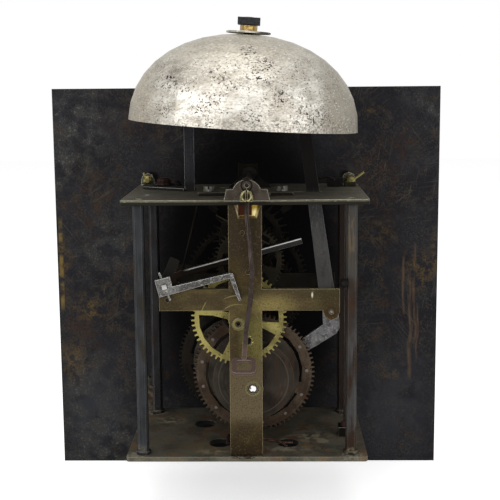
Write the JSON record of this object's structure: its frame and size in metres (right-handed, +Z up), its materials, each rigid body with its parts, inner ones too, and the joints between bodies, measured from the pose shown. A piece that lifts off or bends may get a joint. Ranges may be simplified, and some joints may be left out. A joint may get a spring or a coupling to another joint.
{
  "type": "longcase clock movement",
  "caption": "Posted-frame striking clock movement with a square dial plate and hands in front, a crutch behind and a round bell on a bent stand above.",
  "frame": {"origin": "middle of the bottom plate's underside, where the movement sits on its seat board", "axes": "+Z up; the dial faces -Y and the back bar and crutch face +Y; +X is to the right seen from the dial"},
  "size_m": [0.254, 0.1464, 0.295],
  "materials": {
    "aged_brass": "cast and filed brass with an olive patina",
    "yellow_brass": "yellow brass, lightly tarnished",
    "dark_brass": "brass gone brown with age",
    "bright_steel": "filed steel, pitted and worn bright",
    "dark_iron": "dark blue-grey forged iron",
    "brown_iron": "wrought iron gone brown",
    "painted_iron": "sheet iron, dark and rust-blotched behind, painted in front",
    "bell_metal": "pale grey turned bell metal with dark pits",
    "black_iron": "blackened iron"
  },
  "bodies": {
    "frame": {"bottom_plate": "dark_brass", "top_plate": "aged_brass", "pillar_front_left": "dark_iron", "pillar_front_right": "dark_iron", "pillar_rear_left": "dark_iron", "pillar_rear_right": "dark_iron", "back_bar": "aged_brass", "middle_bar": "dark_brass", "front_bar": "dark_brass", "dial_plate": "painted_iron", "dial_foot_upper_left": "yellow_brass", "dial_foot_upper_right": "yellow_brass", "dial_foot_lower_left": "yellow_brass", "dial_foot_lower_right": "yellow_brass", "wedge_block": "black_iron", "back_cock": "brown_iron", "cock_screw_left": "bright_steel", "cock_screw_right": "bright_steel", "suspension_block": "yellow_brass", "hammer_spring": "bright_steel", "hammer_spring_screw": "brown_iron", "detent_spring": "brown_iron", "bell": "bell_metal", "bell_washer": "bright_steel", "bell_collar": "yellow_brass", "bell_nut": "brown_iron", "bell_stand": "brown_iron", "bell_stand_screw": "brown_iron"},
    "going_great": {"going_great_arbor": "bright_steel", "going_great_wheel": "dark_brass", "going_sprocket": "brown_iron", "motion_drive_wheel": "yellow_brass"},
    "going_second": {"going_second_arbor": "bright_steel", "going_second_wheel": "aged_brass"},
    "escape": {"escape_arbor": "bright_steel", "escape_wheel": "aged_brass"},
    "pallets": {"pallet_arbor": "bright_steel", "anchor": "bright_steel", "crutch": "brown_iron"},
    "strike_great": {"strike_great_arbor": "bright_steel", "strike_great_wheel": "dark_brass"},
    "strike_rope_sprocket": {"strike_sprocket": "brown_iron"},
    "click": {"strike_click": "bright_steel"},
    "strike_second": {"strike_second_arbor": "bright_steel", "strike_second_wheel": "yellow_brass", "locking_hoop": "brown_iron"},
    "warning": {"warning_arbor": "bright_steel", "warning_wheel": "aged_brass"},
    "fly": {"fly_arbor": "bright_steel", "fly_vane": "yellow_brass"},
    "striking_hammer": {"hammer": "bright_steel", "hammer_arbor": "brown_iron"},
    "detent": {"detent_arbor": "brown_iron", "countwheel_detent": "bright_steel", "detent_taper_pin": "bright_steel", "locking_lever": "bright_steel"},
    "minute": {"minute_wheel": "dark_brass", "minute_hand": "black_iron"},
    "hour": {"hour_wheel": "dark_brass", "hour_hand": "black_iron"}
  },
  "joints": [
    {"name": "going_great_spin", "type": "hinge", "parent": "frame", "child": "going_great", "pos_m": [0.0073, 0, 0.0427], "axis": [0, 1, 0], "continuous": true},
    {"name": "going_second_spin", "type": "hinge", "parent": "frame", "child": "going_second", "pos_m": [0.00179, 0, 0.08191], "axis": [0, 1, 0], "continuous": true},
    {"name": "escape_spin", "type": "hinge", "parent": "frame", "child": "escape", "pos_m": [-0.00143, 0, 0.12028], "axis": [0, 1, 0], "continuous": true},
    {"name": "minute_spin", "type": "hinge", "parent": "frame", "child": "minute", "pos_m": [0.0018, 0, 0.0852], "axis": [0, 1, 0], "continuous": true},
    {"name": "hour_spin", "type": "hinge", "parent": "frame", "child": "hour", "pos_m": [0.0018, 0, 0.0852], "axis": [0, 1, 0], "continuous": true},
    {"name": "pallet_swing", "type": "hinge", "parent": "frame", "child": "pallets", "pos_m": [-0.00143, 0, 0.15988], "axis": [0, 1, 0], "range_deg": [-2, 2]},
    {"name": "strike_great_spin", "type": "hinge", "parent": "frame", "child": "strike_great", "pos_m": [-0.0038, 0, 0.0425], "axis": [0, 1, 0], "continuous": true},
    {"name": "strike_second_spin", "type": "hinge", "parent": "frame", "child": "strike_second", "pos_m": [0.00423, 0, 0.0803], "axis": [0, 1, 0], "continuous": true},
    {"name": "warning_spin", "type": "hinge", "parent": "frame", "child": "warning", "pos_m": [-0.00148, 0, 0.10999], "axis": [0, 1, 0], "continuous": true},
    {"name": "fly_spin", "type": "hinge", "parent": "frame", "child": "fly", "pos_m": [0.00152, 0, 0.13247], "axis": [0, 1, 0], "continuous": true},
    {"name": "strike_winding", "type": "hinge", "parent": "strike_great", "child": "strike_rope_sprocket", "pos_m": [-0.0038, 0, 0.0425], "axis": [0, 1, 0], "continuous": true},
    {"name": "click_lift", "type": "hinge", "parent": "strike_great", "child": "click", "pos_m": [-0.02673, 0, 0.03415], "axis": [0, 1, 0], "range_deg": [0, 8], "stiffness_Nm_per_rad": 0.00012, "springref_deg": -11.46},
    {"name": "hammer_lift", "type": "hinge", "parent": "frame", "child": "striking_hammer", "pos_m": [-0.0484, 0, 0.0871], "axis": [0, 1, 0], "range_deg": [0, 6], "stiffness_Nm_per_rad": 0.15, "springref_deg": -17.19},
    {"name": "detent_lift", "type": "hinge", "parent": "frame", "child": "detent", "pos_m": [0.0442, 0, 0.0943], "axis": [0, 1, 0], "range_deg": [0, 5]}
  ],
  "couplings": [
    {"joint": "going_second_spin", "follows": "going_great_spin", "ratio": -10},
    {"joint": "escape_spin", "follows": "going_great_spin", "ratio": 60},
    {"joint": "minute_spin", "follows": "going_great_spin", "ratio": -1},
    {"joint": "hour_spin", "follows": "going_great_spin", "ratio": -0.083333},
    {"joint": "strike_second_spin", "follows": "strike_great_spin", "ratio": -13},
    {"joint": "warning_spin", "follows": "strike_great_spin", "ratio": 104},
    {"joint": "fly_spin", "follows": "strike_great_spin", "ratio": -832}
  ]
}
